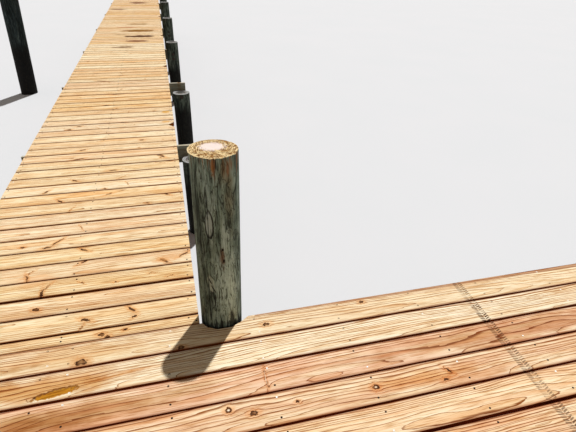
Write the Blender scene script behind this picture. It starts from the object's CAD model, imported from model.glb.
"""Wooden jetty: the looks of its deck, framing, caps, piles and fastenings.

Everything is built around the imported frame, in metres, with +Y along the walkway, away from the head.
"""

import logging
import math
import random
from collections.abc import Callable, Sequence
from dataclasses import dataclass, field
from enum import Enum

import bpy
import numpy as np
from mathutils import Matrix, Vector, noise

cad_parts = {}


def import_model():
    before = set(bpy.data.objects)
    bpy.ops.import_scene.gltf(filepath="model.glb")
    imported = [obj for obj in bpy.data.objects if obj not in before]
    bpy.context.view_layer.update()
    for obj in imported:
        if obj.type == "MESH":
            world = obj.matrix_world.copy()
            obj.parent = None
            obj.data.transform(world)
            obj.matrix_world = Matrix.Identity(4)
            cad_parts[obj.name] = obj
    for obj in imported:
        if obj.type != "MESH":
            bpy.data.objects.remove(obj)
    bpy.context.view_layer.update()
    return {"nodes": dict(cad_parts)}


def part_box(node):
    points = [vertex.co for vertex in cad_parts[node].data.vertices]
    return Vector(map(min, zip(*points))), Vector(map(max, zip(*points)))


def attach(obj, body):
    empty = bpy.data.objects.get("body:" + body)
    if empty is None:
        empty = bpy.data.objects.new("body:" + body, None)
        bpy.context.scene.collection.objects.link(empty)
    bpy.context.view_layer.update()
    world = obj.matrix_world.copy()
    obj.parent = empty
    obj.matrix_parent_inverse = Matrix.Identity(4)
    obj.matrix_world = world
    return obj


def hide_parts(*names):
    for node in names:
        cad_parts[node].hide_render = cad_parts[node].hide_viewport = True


LOG = logging.getLogger("jetty")
MM = 0.001
INCH = 0.0254
# The attributes in which each face finds the knots nearest to it, and a place beyond every board for none
KNOT_SLOTS = ("knot_1", "knot_2", "knot_3")
FAR = 60.0
Tree = bpy.types.NodeTree
Socket = bpy.types.NodeSocket
Material = bpy.types.Material
Piece = bpy.types.Object
NODES: dict[str, Piece] = {}


def linear(code: str) -> tuple[float, float, float, float]:
    """Turns an sRGB hex value into a linear colour.

    Args:
        code: The colour as "#rrggbb".

    Returns:
        Red, green, blue and an alpha of 1.
    """
    parts = [int(code[i : i + 2], 16) / 255 for i in (1, 3, 5)]
    red, green, blue = [c / 12.92 if c <= 0.04045 else ((c + 0.055) / 1.055) ** 2.4 for c in parts]
    return red, green, blue, 1.0


def add(
    tree: Tree, kind: str, sockets: dict | None = None, stops: Sequence = (), **settings: object
) -> Socket:
    """Adds a node with its settings and links.

    Args:
        tree: The node tree that the node goes into.
        kind: The node's type, without the word ShaderNode.
        sockets: Inputs by name or number, each the output that feeds it, a number, a vector or an sRGB hex.
        stops: On a colour ramp, places from 0 to 1 and the sRGB hex at each.
        **settings: Properties of the node, and "out" for the name or number of the output that is returned.

    Returns:
        The wanted output of the new node, which is the first one unless "out" names another.
    """
    out = settings.pop("out", 0)
    node = tree.nodes.new("ShaderNode" + kind)
    for name, value in settings.items():
        setattr(node, name, value)
    while stops and len(node.color_ramp.elements) < len(stops):
        node.color_ramp.elements.new(0.5)
    for number, (place, code) in enumerate(stops):
        node.color_ramp.elements[number].position = place
        node.color_ramp.elements[number].color = linear(code)
    for name, value in (sockets or {}).items():
        if isinstance(value, Socket):
            tree.links.new(value, node.inputs[name])
        else:
            node.inputs[name].default_value = linear(value) if isinstance(value, str) else value
    return node.outputs[out]


def new_material(name: str, roughness: float, shine: float = 0.5) -> tuple[Material, Tree, bpy.types.Node]:
    """Makes a node material with an empty shader.

    Args:
        name: The real material's name.
        roughness: The shader's roughness.
        shine: How much its surface reflects, as the shader's specular level.

    Returns:
        The material, its node tree and its main shader.
    """
    material = bpy.data.materials.new(name)
    material.use_nodes = True
    tree = material.node_tree
    shader = tree.nodes["Principled BSDF"]
    shader.inputs["Roughness"].default_value = roughness
    shader.inputs["Specular IOR Level"].default_value = shine
    return material, tree, shader


def drawn_out(tree: Tree, at: Socket, waves: tuple, detail: float, **more: object) -> Socket:
    """Draws noise that is long one way and short the others, as the marks in wood are.

    Args:
        tree: The material's node tree.
        at: The place that it follows.
        waves: How many waves a metre holds along each axis.
        detail: How many finer layers it has.
        **more: "out" for the output that is returned, and Roughness for the share of the finer layers.

    Returns:
        The noise, about 0.5 in the middle.
    """
    out = more.pop("out", 0)
    long = add(tree, "VectorMath", {0: at, 1: waves}, operation="MULTIPLY")
    return add(tree, "TexNoise", {"Vector": long, "Scale": 1.0, "Detail": detail, **more}, out=out)


@dataclass(frozen=True)
class Stain:
    """A soft-edged mark on a surface, an ellipsoid in the row frame.

    The blend is MIX where it paints its own colour, and MULTIPLY where it only tones what lies under it.
    """

    centre: tuple[float, float, float]
    half: tuple[float, float, float]
    colour: str
    strength: float = 0.8
    turn: tuple[float, float, float] = (0.0, 0.0, 0.0)
    ragged: float = 0.35
    grit: float = 25.0
    soft: float = 0.45
    blend: str = "MIX"

    def over(self, tree: Tree, under: Socket) -> Socket:
        """Lays the mark over a colour.

        Args:
            tree: The material's node tree.
            under: The colour of the clean surface.

        Returns:
            The socket of the stained colour.
        """
        place = add(tree, "TexCoord", out="Object")
        turn = tuple(math.radians(a) for a in self.turn)
        box = {"Vector": place, "Location": self.centre, "Rotation": turn, "Scale": self.half}
        local = add(tree, "Mapping", box, vector_type="TEXTURE")
        rough = add(tree, "TexNoise", {"Vector": place, "Scale": self.grit, "Detail": 3.0})
        reach = add(tree, "VectorMath", {0: local}, operation="LENGTH", out="Value")
        edge = add(tree, "Math", {0: rough, 1: self.ragged * 2, 2: reach}, operation="MULTIPLY_ADD")
        outer = 1.0 + self.ragged
        limits = {"Value": edge, "From Min": outer, "From Max": outer - self.soft, "To Max": self.strength}
        mask = add(tree, "MapRange", limits, interpolation_type="SMOOTHSTEP")
        layers = {"Fac": mask, "Color1": under, "Color2": self.colour}
        return add(tree, "MixRGB", layers, blend_type=self.blend)


@dataclass(frozen=True)
class SawnPine:
    """Southern pine from the saw and planer: wide pale rings with hard orange edges, and brown knots.

    The late wood of each year is darker and harder, so it draws lines along the board and long nested
    points where the saw has cut across the trunk's curve. The ring is a year's growth and the line its late
    wood, and the lines bend as the pith wanders.
    """

    name: str
    early: str
    middle: str
    late: str
    side: str = "#ffffff"
    fibre: str = "#b98d5c"
    ring: float = 7 * MM
    line: float = 2.2 * MM
    wander: float = 15 * MM
    roughness: float = 0.66
    shine: float = 0.06
    stains: tuple[Stain, ...] = ()

    def make(self) -> Material:
        """Builds the material, which reads the attributes that grade() writes.

        Returns:
            The material.
        """
        material, tree, shader = new_material(self.name, self.roughness, self.shine)
        grain = add(tree, "Attribute", attribute_name="grain", out="Vector")
        moved, nearest = self._bent_grain(tree, grain)
        colour, hard = self._rings(tree, grain, moved)
        colour = self._knots(tree, grain, nearest, colour)
        colour = self._toned(tree, colour)
        for stain in self.stains:
            colour = stain.over(tree, colour)
        colour = self._fibre(tree, grain, colour)
        colour = self._extras(tree, colour)
        tree.links.new(self._sides(tree, colour), shader.inputs["Base Color"])
        nap = drawn_out(tree, grain, (12, 240, 240), 2.0)
        height = add(tree, "Math", {0: hard, 1: 0.6, 2: nap}, operation="MULTIPLY_ADD")
        bump = add(tree, "Bump", {"Strength": 0.25, "Distance": 0.4 * MM, "Height": height})
        tree.links.new(bump, shader.inputs["Normal"])
        return material

    def _extras(self, tree: Tree, colour: Socket) -> Socket:
        """Returns the colour as it is; a finish with more marks lays them here."""
        return colour

    def _bent_grain(self, tree: Tree, grain: Socket) -> tuple[Socket, Socket]:
        """Lets the pith wander and leads the grain round the knots.

        Args:
            tree: The material's node tree.
            grain: The place in the trunk, X along it and Y and Z from its pith.

        Returns:
            The moved place, and how far the nearest knot is, as the square of its own radii.
        """
        sway = drawn_out(tree, grain, (1.5, 6, 6), 1.5, out="Color", Roughness=0.4)
        reach = (0, self.wander, self.wander)
        moved = add(tree, "VectorMath", {0: sway, 1: reach, 2: grain}, operation="MULTIPLY_ADD")
        crooked = add(tree, "TexNoise", {"Vector": grain, "Scale": 70.0, "Detail": 3.0}, out="Color")
        jag = Vector((0.9, 2.4, 0))
        shift = add(tree, "VectorMath", {0: crooked, 1: jag, 2: jag / -2}, operation="MULTIPLY_ADD")
        frayed = add(tree, "TexNoise", {"Vector": grain, "Scale": 190.0, "Detail": 3.0})
        feathered = {"Value": frayed, "From Min": 0.38, "From Max": 0.62, "To Min": -0.8, "To Max": 1.9}
        feather = add(tree, "MapRange", feathered)
        crook = Vector((0, 5.5, 0))
        squares = []
        for slot in KNOT_SLOTS:
            mark = add(tree, "Attribute", attribute_name=slot, out="Vector")
            bend = drawn_out(tree, mark, (1.3, 0, 700), 1.0, out="Color")
            bent = add(tree, "VectorMath", {0: bend, 1: crook, 2: crook / -2}, operation="MULTIPLY_ADD")
            size = add(tree, "SeparateXYZ", {0: mark}, out="Z")
            thin = add(tree, "MapRange", {"Value": size, "From Min": 10.5 * MM, "From Max": 7 * MM})
            wild = add(tree, "MapRange", {"Value": thin, "To Min": 0.3, "To Max": 1.0})
            both = add(tree, "VectorMath", {0: shift, 1: bent}, operation="ADD")
            moved_off = add(tree, "VectorMath", {0: both, "Scale": wild}, operation="SCALE")
            flat = add(tree, "VectorMath", {0: mark, 1: (1, 1, 0), 2: moved_off}, operation="MULTIPLY_ADD")
            square = add(tree, "VectorMath", {0: flat, 1: flat}, operation="DOT_PRODUCT", out="Value")
            away = add(tree, "Math", {0: square, 1: 1.0}, operation="MAXIMUM")
            side = add(tree, "SeparateXYZ", {0: mark}, out="Y")
            small = {"Value": size, "From Min": 17 * MM, "From Max": 12 * MM, "To Max": 0.5}
            core = add(tree, "MapRange", small)
            torn = add(tree, "Math", {0: feather, 1: thin, 2: square}, operation="MULTIPLY_ADD")
            squares.append(add(tree, "Math", {0: torn, 1: core}, operation="ADD"))
            around = add(tree, "Math", {0: side, 1: away}, operation="DIVIDE")
            push = add(tree, "Math", {0: around, 1: size}, operation="MULTIPLY")
            step = add(tree, "CombineXYZ", {"Y": push})
            moved = add(tree, "VectorMath", {0: moved, 1: step}, operation="SUBTRACT")
        nearest = squares[0]
        for other in squares[1:]:
            nearest = add(tree, "Math", {0: nearest, 1: other}, operation="MINIMUM")
        return moved, nearest

    def _rings(self, tree: Tree, grain: Socket, moved: Socket) -> tuple[Socket, Socket]:
        """Draws the growth rings where the surface cuts them.

        Args:
            tree: The material's node tree.
            grain: The place in the trunk.
            moved: The same place, bent by the pith's wander and the knots.

        Returns:
            The colour of the rings and how hard the wood is, from 0 to 1.
        """
        across = add(tree, "VectorMath", {0: moved, 1: (0, 1, 1)}, operation="MULTIPLY")
        radius = add(tree, "VectorMath", {0: across}, operation="LENGTH", out="Value")
        outwards = add(tree, "VectorMath", {0: across}, operation="NORMALIZE")
        upwards = add(tree, "SeparateXYZ", {0: outwards}, out="Z")
        tangent = add(tree, "Math", {0: upwards, 1: upwards}, operation="MULTIPLY")
        squared = add(tree, "Math", {0: 1.0, 1: tangent}, operation="SUBTRACT")
        rooted = add(tree, "Math", {0: squared, 1: 0.5}, operation="POWER")
        cut = add(tree, "Math", {0: rooted, 1: 0.13}, operation="MAXIMUM")
        years = add(tree, "Math", {0: radius, 1: self.ring}, operation="DIVIDE")
        uneven = add(tree, "TexNoise", {"W": years, "Scale": 0.35, "Detail": 1.0}, noise_dimensions="1D")
        spaced = add(tree, "Math", {0: uneven, 1: 2.6, 2: years}, operation="MULTIPLY_ADD")
        frayed = drawn_out(tree, grain, (7, 60, 60), 2.0)
        age = add(tree, "Math", {0: frayed, 1: 0.4, 2: spaced}, operation="MULTIPLY_ADD")
        season = add(tree, "Math", {0: age}, operation="FRACT")
        stops = [(0.0, self.early), (0.4, self.early), (1.0, self.middle)]
        grown = add(tree, "ValToRGB", {"Fac": season}, stops)
        left = add(tree, "Math", {0: 1.0, 1: season}, operation="SUBTRACT")
        wide = add(tree, "Math", {0: cut, 1: self.line / self.ring}, operation="MULTIPLY")
        edge = add(tree, "MapRange", {"Value": left, "From Min": wide, "From Max": 0.0, "To Max": 1.7})
        rings = add(tree, "MixRGB", {"Fac": edge, "Color1": grown, "Color2": self.late})
        patch = drawn_out(tree, grain, (2.2, 14, 14), 2.0)
        share = add(tree, "MapRange", {"Value": patch, "From Min": 0.32, "From Max": 0.6, "To Min": 0.72})
        return add(tree, "MixRGB", {"Fac": share, "Color1": self.early, "Color2": rings}), season

    def _fibre(self, tree: Tree, grain: Socket, colour: Socket) -> Socket:
        """Breaks the colour into fine streaks along the grain and slow drifts of tone.

        Args:
            tree: The material's node tree.
            grain: The place in the trunk.
            colour: The colour of the rings.

        Returns:
            The streaked colour.
        """
        for waves, share, stops in (
            ((9, 220, 220), 0.75, [(0.36, self.fibre), (0.5, "#fdfaf5"), (0.6, "#ffffff")]),
            ((4, 80, 80), 0.7, [(0.32, "#e0c39e"), (0.44, "#ffffff"), (0.7, "#ffffff")]),
            ((1.6, 20, 20), 0.6, [(0.34, "#f3dabb"), (0.48, "#ffffff"), (0.7, "#fffbf2")]),
        ):
            streak = drawn_out(tree, grain, waves, 3.0, Roughness=0.6)
            streaks = add(tree, "ValToRGB", {"Fac": streak}, stops)
            layers = {"Fac": share, "Color1": colour, "Color2": streaks}
            colour = add(tree, "MixRGB", layers, blend_type="MULTIPLY")
        return colour

    def _knots(self, tree: Tree, grain: Socket, nearest: Socket, colour: Socket) -> Socket:
        """Draws each knot: a mottled brown face, a dark bark line and an amber halo.

        Args:
            tree: The material's node tree.
            grain: The place in the trunk.
            nearest: How far the nearest knot is, as the square of its own radii.
            colour: The colour of the clean wood.

        Returns:
            The colour with its knots.
        """
        rough = add(tree, "TexNoise", {"Vector": grain, "Scale": 130.0, "Detail": 3.0})
        limits = {"Value": rough, "From Min": 0.3, "From Max": 0.7, "To Min": 0.65, "To Max": 1.4}
        wild = add(tree, "MapRange", limits)
        reach = add(tree, "Math", {0: nearest, 1: wild}, operation="MULTIPLY")
        glow = {"Value": reach, "From Min": 9.0, "From Max": 1.0, "To Max": 0.6}
        halo = add(tree, "MapRange", glow, interpolation_type="SMOOTHSTEP")
        layers = {"Fac": halo, "Color1": colour, "Color2": "#f0c493"}
        colour = add(tree, "MixRGB", layers, blend_type="MULTIPLY")
        half = add(tree, "Math", {0: reach, 1: 0.5}, operation="MULTIPLY")
        stops = [(0.0, "#94704a"), (0.14, "#85603a"), (0.28, "#4a2e18"), (0.5, "#3f2814"), (0.75, "#a26b38")]
        face = add(tree, "ValToRGB", {"Fac": half}, stops)
        faint = add(tree, "TexNoise", {"Vector": grain, "Scale": 45.0, "Detail": 2.0})
        firm = add(tree, "MapRange", {"Value": faint, "From Min": 0.36, "From Max": 0.52, "To Min": 0.75})
        edge = add(tree, "MapRange", {"Value": reach, "From Min": 1.7, "From Max": 1.0})
        inside = add(tree, "Math", {0: edge, 1: firm}, operation="MULTIPLY")
        return add(tree, "MixRGB", {"Fac": inside, "Color1": colour, "Color2": face})

    def _toned(self, tree: Tree, colour: Socket) -> Socket:
        """Gives each board its own tone, from the attribute: X is how dark, Y how red, Z how orange.

        Args:
            tree: The material's node tree.
            colour: The colour of wood and knots.

        Returns:
            The toned colour.
        """
        tone = add(tree, "Attribute", attribute_name="tone", out="Vector")
        grain = add(tree, "Attribute", attribute_name="grain", out="Vector")
        drift = drawn_out(tree, grain, (3, 26, 26), 3.0)
        limits = {"Value": drift, "From Min": 0.35, "From Max": 0.65, "To Min": 0.5, "To Max": 1.4}
        uneven = add(tree, "MapRange", limits)
        for axis, tint in (("X", "#dac8ad"), ("Y", "#f6dfe8"), ("Z", "#fbe6c0")):
            part = add(tree, "SeparateXYZ", {0: tone}, out=axis)
            share = add(tree, "Math", {0: part, 1: uneven}, operation="MULTIPLY", use_clamp=True)
            layers = {"Fac": share, "Color1": colour, "Color2": tint}
            colour = add(tree, "MixRGB", layers, blend_type="MULTIPLY")
        return colour

    def _sides(self, tree: Tree, colour: Socket) -> Socket:
        """Tones the eased edges and sides, where no sun bleaches the wood and dirt collects.

        Args:
            tree: The material's node tree.
            colour: The colour of the upper face.

        Returns:
            The colour with its edges and sides toned.
        """
        facing = add(tree, "NewGeometry", out="Normal")
        up = add(tree, "SeparateXYZ", {0: facing}, out="Z")
        eased = add(tree, "MapRange", {"Value": up, "From Min": 0.97, "From Max": 0.7})
        grime = add(tree, "MapRange", {"Value": up, "From Min": 0.985, "From Max": 0.981, "To Max": 0.6})
        shade = add(tree, "Math", {0: eased, 1: grime}, operation="MAXIMUM")
        layers = {"Fac": shade, "Color1": colour, "Color2": self.side}
        return add(tree, "MixRGB", layers, blend_type="MULTIPLY")


@dataclass(frozen=True)
class DeckPine(SawnPine):
    """The same pine as deck boards, with the dotted dirt of a small wheel across the head.

    The track runs along Y at its place on X, drifts by its slope, and ends at the head's front edge. Its
    dashes are a tread apart, in lanes.
    """

    track_x: float = 1.987
    track_slope: float = 0.033
    track_half: float = 27 * MM
    track_end: float = 0.0
    tread: float = 12 * MM
    lane: float = 54 * MM
    dirt: str = "#4a2c18"

    def _extras(self, tree: Tree, colour: Socket) -> Socket:
        """Lays the rows of small dirt dashes that a tread has left along Y.

        Args:
            tree: The material's node tree.
            colour: The colour of the clean boards.

        Returns:
            The colour with the track.
        """
        place = add(tree, "TexCoord", out="Object")
        x = add(tree, "SeparateXYZ", {0: place}, out="X")
        y = add(tree, "SeparateXYZ", {0: place}, out="Y")
        start = self.track_slope * self.track_end - self.track_x
        square_on = add(tree, "Math", {0: y, 1: -self.track_slope, 2: start}, operation="MULTIPLY_ADD")
        side = add(tree, "Math", {0: x, 1: square_on}, operation="ADD")
        off = add(tree, "Math", {0: side}, operation="ABSOLUTE")
        slant = add(tree, "Math", {0: off, 1: -0.35, 2: y}, operation="MULTIPLY_ADD")
        rhythms = ((slant, self.tread, -0.6), (slant, self.tread * 5, -1.25), (off, self.lane, 0.0))
        parts = []
        for value, size, low in rhythms:
            angle = add(tree, "Math", {0: value, 1: 2 * math.pi / size}, operation="MULTIPLY")
            wave = add(tree, "Math", {0: angle}, operation="SINE")
            parts.append(add(tree, "MapRange", {"Value": wave, "From Min": low, "From Max": low + 0.5}))
        loose = add(tree, "TexNoise", {"Vector": place, "Scale": 30.0, "Detail": 4.0})
        worn = add(tree, "MapRange", {"Value": loose, "From Min": 0.38, "From Max": 0.5, "To Min": 0.35})
        slow = add(tree, "TexNoise", {"Vector": place, "Scale": 6.0, "Detail": 1.0})
        faded = add(tree, "MapRange", {"Value": slow, "From Min": 0.4, "From Max": 0.55, "To Min": 0.65})
        inside = add(tree, "Math", {0: off, 1: self.track_half}, operation="LESS_THAN")
        before = add(tree, "Math", {0: y, 1: self.track_end}, operation="LESS_THAN")
        mask, *others = [*parts, worn, faded, inside, before]
        for other in others:
            mask = add(tree, "Math", {0: mask, 1: other}, operation="MULTIPLY")
        return add(tree, "MixRGB", {"Fac": mask, "Color1": colour, "Color2": self.dirt})


@dataclass(frozen=True)
class PileSkin:
    """Round pine pile, treated and peeled: grey-green, streaked and checked, black up to its wet mark."""

    name: str
    wet_top: float = 0.8
    wash: str = "#bccec6"
    pale: str = "#98aaa2"
    green: str = "#74877e"
    dark: str = "#3b4a45"
    rust: str = "#8a5a34"
    crack: str = "#15130d"
    foot: float = 0.0
    drifts: tuple[Stain, ...] = ()
    stains: tuple[Stain, ...] = ()

    def make(self) -> Material:
        """Builds the material, which reads the attributes check and grain of a pile's mesh.

        Returns:
            The material.
        """
        material, tree, shader = new_material(self.name, 0.82, 0.15)
        place = add(tree, "TexCoord", out="Object")
        sway = drawn_out(tree, place, (9, 9, 5), 2.0, out="Color")
        flame = add(tree, "VectorMath", {0: sway, 1: (0.06, 0.06, 0), 2: place}, operation="MULTIPLY_ADD")
        streak = drawn_out(tree, flame, (42, 42, 3.4), 4.0, Roughness=0.62)
        stops = [(0.3, self.dark), (0.42, self.green), (0.56, self.pale), (0.75, self.wash)]
        colour = add(tree, "ValToRGB", {"Fac": streak}, stops)
        patch = drawn_out(tree, place, (15, 15, 4.5), 4.0, Roughness=0.62)
        stops = [(0.34, "#85897f"), (0.48, "#e2e3da"), (0.6, "#ffffff")]
        layers = {"Fac": 0.8, "Color1": colour, "Color2": add(tree, "ValToRGB", {"Fac": patch}, stops)}
        colour = add(tree, "MixRGB", layers, blend_type="MULTIPLY")
        for drift in self.drifts:
            colour = drift.over(tree, colour)
        fibre = drawn_out(tree, flame, (150, 150, 8), 4.0, Roughness=0.62)
        stops = [(0.36, "#484a42"), (0.47, "#f0f1ec"), (0.62, "#ffffff")]
        layers = {"Fac": 0.9, "Color1": colour, "Color2": add(tree, "ValToRGB", {"Fac": fibre}, stops)}
        colour = add(tree, "MixRGB", layers, blend_type="MULTIPLY")
        colour = self._cracked(tree, flame, colour)
        colour = self._rusted(tree, place, colour)
        for stain in self.stains:
            colour = stain.over(tree, colour)
        colour = self._footed(tree, place, colour)
        colour = self._wetted(tree, place, colour)
        check = add(tree, "Attribute", attribute_name="check", out="Fac")
        colour = add(tree, "MixRGB", {"Fac": check, "Color1": colour, "Color2": self.crack})
        tree.links.new(colour, shader.inputs["Base Color"])
        both = add(tree, "Math", {0: fibre, 1: 0.5, 2: streak}, operation="MULTIPLY_ADD")
        bump = add(tree, "Bump", {"Strength": 0.7, "Distance": 2.2 * MM, "Height": both})
        tree.links.new(bump, shader.inputs["Normal"])
        return material

    def _cracked(self, tree: Tree, place: Socket, colour: Socket) -> Socket:
        """Draws the fine drying cracks, thin wavy lines down the grain.

        Args:
            tree: The material's node tree.
            place: The place on the pile, swayed a little.
            colour: The colour of the skin.

        Returns:
            The colour with its cracks.
        """
        for waves, width in (((24, 24, 2.2), 0.014), ((46, 46, 4.5), 0.014), ((80, 80, 9), 0.012)):
            value = drawn_out(tree, place, waves, 2.5, Roughness=0.55)
            off = add(tree, "Math", {0: value, 1: 0.5}, operation="SUBTRACT")
            line = add(tree, "Math", {0: off}, operation="ABSOLUTE")
            mask = add(tree, "MapRange", {"Value": line, "From Min": width, "From Max": 0.0, "To Max": 0.85})
            colour = add(tree, "MixRGB", {"Fac": mask, "Color1": colour, "Color2": self.crack})
        return colour

    def _rusted(self, tree: Tree, place: Socket, colour: Socket) -> Socket:
        """Runs thin brown stains down from the sawn top.

        Args:
            tree: The material's node tree.
            place: The place on the pile.
            colour: The colour of the skin.

        Returns:
            The colour with its stains.
        """
        grain = add(tree, "Attribute", attribute_name="grain", out="Vector")
        depth = add(tree, "SeparateXYZ", {0: grain}, out="X")
        run = drawn_out(tree, place, (70, 70, 1.2), 2.0)
        length = add(tree, "MapRange", {"Value": run, "From Min": 0.5, "From Max": 0.75, "To Max": 0.16})
        left = add(tree, "Math", {0: length, 1: depth}, operation="SUBTRACT")
        mask = add(tree, "MapRange", {"Value": left, "From Max": 0.05, "To Max": 0.6})
        return add(tree, "MixRGB", {"Fac": mask, "Color1": colour, "Color2": self.rust})

    def _footed(self, tree: Tree, place: Socket, colour: Socket) -> Socket:
        """Blackens the pile where it passes the deck, in stains that rise at some places.

        Args:
            tree: The material's node tree.
            place: The place on the pile.
            colour: The colour of the skin.

        Returns:
            The colour with its stains.
        """
        height = add(tree, "SeparateXYZ", {0: place}, out="Z")
        rise = drawn_out(tree, place, (60, 60, 4), 3.0)
        above = add(tree, "Math", {0: height, 1: self.foot}, operation="SUBTRACT")
        limits = {"Value": rise, "From Min": 0.45, "From Max": 0.68, "To Min": 0.006, "To Max": 0.1}
        reach = add(tree, "MapRange", limits)
        left = add(tree, "Math", {0: reach, 1: above}, operation="SUBTRACT")
        mask = add(tree, "MapRange", {"Value": left, "From Max": 0.02, "To Max": 0.85})
        dark = add(tree, "MixRGB", {"Fac": mask, "Color1": colour, "Color2": "#191712"})
        below = add(tree, "Math", {0: above, 1: -0.04}, operation="GREATER_THAN")
        return add(tree, "MixRGB", {"Fac": below, "Color1": colour, "Color2": dark})

    def _wetted(self, tree: Tree, place: Socket, colour: Socket) -> Socket:
        """Blackens the pile up to its wet mark, which runs up and down a little round it.

        Args:
            tree: The material's node tree.
            place: The place on the pile.
            colour: The colour of the skin.

        Returns:
            The colour, black up to the mark.
        """
        height = add(tree, "SeparateXYZ", {0: place}, out="Z")
        sway = 0.24
        edge = drawn_out(tree, place, (14, 14, 6), 3.0)
        level = add(tree, "Math", {0: edge, 1: sway, 2: height}, operation="MULTIPLY_ADD")
        reach = {"From Min": self.wet_top + sway, "From Max": self.wet_top - 0.02}
        limits = {"Value": level, "To Max": 0.95, **reach}
        mask = add(tree, "MapRange", limits, interpolation_type="SMOOTHSTEP")
        slime = add(tree, "TexNoise", {"Vector": place, "Scale": 30.0, "Detail": 4.0})
        stops = [(0.35, "#060505"), (0.55, "#0d0b09"), (0.72, "#201c15")]
        dark = add(tree, "ValToRGB", {"Fac": slime}, stops)
        return add(tree, "MixRGB", {"Fac": mask, "Color1": colour, "Color2": dark})


@dataclass(frozen=True)
class SawnTop:
    """End grain cut with a chainsaw: rings torn into brown specks, a bleached middle, a ragged pale rim."""

    name: str
    radius: float
    ring: float = 8 * MM
    bleached: str = "#f4e4dc"
    pale: str = "#f8e2b0"
    gold: str = "#d8b06a"
    late: str = "#80592a"
    middle: tuple[float, float] = (-0.004, 0.02)
    rim: tuple[float, float] = (0.91, 0.97)

    def make(self) -> Material:
        """Builds the material, which reads the attribute check, and Y and Z of the grain as from the pith.

        Returns:
            The material.
        """
        material, tree, shader = new_material(self.name, 0.9, 0.2)
        grain = add(tree, "Attribute", attribute_name="grain", out="Vector")
        flat = add(tree, "VectorMath", {0: grain, 1: (0, 1, 1)}, operation="MULTIPLY")
        radius = add(tree, "VectorMath", {0: flat}, operation="LENGTH", out="Value")
        wave = add(tree, "TexNoise", {"Vector": grain, "Scale": 30.0, "Detail": 3.0})
        uneven = add(tree, "Math", {0: wave, 1: 16 * MM, 2: radius}, operation="MULTIPLY_ADD")
        years = add(tree, "Math", {0: uneven, 1: self.ring}, operation="DIVIDE")
        season = add(tree, "Math", {0: years}, operation="FRACT")
        stops = [(0.0, self.pale), (0.45, self.pale), (0.7, self.gold), (0.88, self.late), (1.0, self.pale)]
        colour = add(tree, "ValToRGB", {"Fac": season}, stops)
        for scale, high, tint in ((46.0, 0.54, "#b08a52"), (120.0, 0.52, "#745226")):
            tear = add(tree, "TexNoise", {"Vector": grain, "Scale": scale, "Detail": 4.0, "Roughness": 0.7})
            torn = add(tree, "ValToRGB", {"Fac": tear}, [(0.42, tint), (high, "#ffffff")])
            layers = {"Fac": 0.9, "Color1": colour, "Color2": torn}
            colour = add(tree, "MixRGB", layers, blend_type="MULTIPLY")
        off = add(tree, "VectorMath", {0: flat, 1: (0, *self.middle)}, operation="SUBTRACT")
        oval = add(tree, "VectorMath", {0: off, 1: (0, 0.8, 1)}, operation="MULTIPLY")
        far = add(tree, "VectorMath", {0: oval}, operation="LENGTH", out="Value")
        flecks = add(tree, "TexNoise", {"Vector": grain, "Scale": 110.0, "Detail": 3.0})
        ragged = add(tree, "Math", {0: flecks, 1: 50 * MM, 2: far}, operation="MULTIPLY_ADD")
        reach = {"From Min": self.radius * 0.74, "From Max": self.radius * 0.52}
        limits = {"Value": ragged, "To Max": 0.9, **reach}
        bleach = add(tree, "MapRange", limits, interpolation_type="SMOOTHSTEP")
        colour = add(tree, "MixRGB", {"Fac": bleach, "Color1": colour, "Color2": self.bleached})
        inner, outer = (share * self.radius + 8 * MM for share in self.rim)
        rim = add(tree, "MapRange", {"Value": uneven, "From Min": inner, "From Max": outer, "To Max": 0.6})
        colour = add(tree, "MixRGB", {"Fac": rim, "Color1": colour, "Color2": self.pale})
        check = add(tree, "Attribute", attribute_name="check", out="Fac")
        colour = add(tree, "MixRGB", {"Fac": check, "Color1": colour, "Color2": "#3a2614"})
        tree.links.new(colour, shader.inputs["Base Color"])
        rough = add(tree, "TexNoise", {"Vector": grain, "Scale": 90.0, "Detail": 5.0, "Roughness": 0.7})
        bump = add(tree, "Bump", {"Strength": 0.8, "Distance": 2.5 * MM, "Height": rough})
        tree.links.new(bump, shader.inputs["Normal"])
        return material


@dataclass(frozen=True)
class Steel:
    """Steel of screws and bolts, galvanised, coated or rusted: dull and finely mottled."""

    name: str
    bright: str
    dull: str
    metallic: float
    roughness: float
    shine: float = 0.5

    def make(self) -> Material:
        """Builds the material, with a spangle of about 3 mm drawn as a soft mottle.

        Returns:
            The material.
        """
        material, tree, shader = new_material(self.name, self.roughness, self.shine)
        place = add(tree, "TexCoord", out="Object")
        spangle = add(tree, "TexNoise", {"Vector": place, "Scale": 300.0, "Detail": 3.0})
        colour = add(tree, "ValToRGB", {"Fac": spangle}, [(0.35, self.dull), (0.65, self.bright)])
        tree.links.new(colour, shader.inputs["Base Color"])
        shader.inputs["Metallic"].default_value = self.metallic
        return material


@dataclass(frozen=True)
class Knot:
    """A knot in a timber's face: its place, its half length and half width, and its turn in degrees.

    A round knot is a branch cut across, and a long narrow one, a spike, is a branch cut along.
    """

    x: float
    y: float
    long: float
    wide: float
    turn: float = 0.0


@dataclass(frozen=True)
class Sawing:
    """Where in its trunk a timber was sawn, and how it looks beside its neighbours.

    The pith lies across and deep from the timber's middle, and rises by the slope for each metre along it.
    """

    start: float
    pith_across: float
    pith_deep: float
    slope: float
    dark: float = 0.0
    red: float = 0.0
    orange: float = 0.0
    knots: tuple[Knot, ...] = ()


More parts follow.
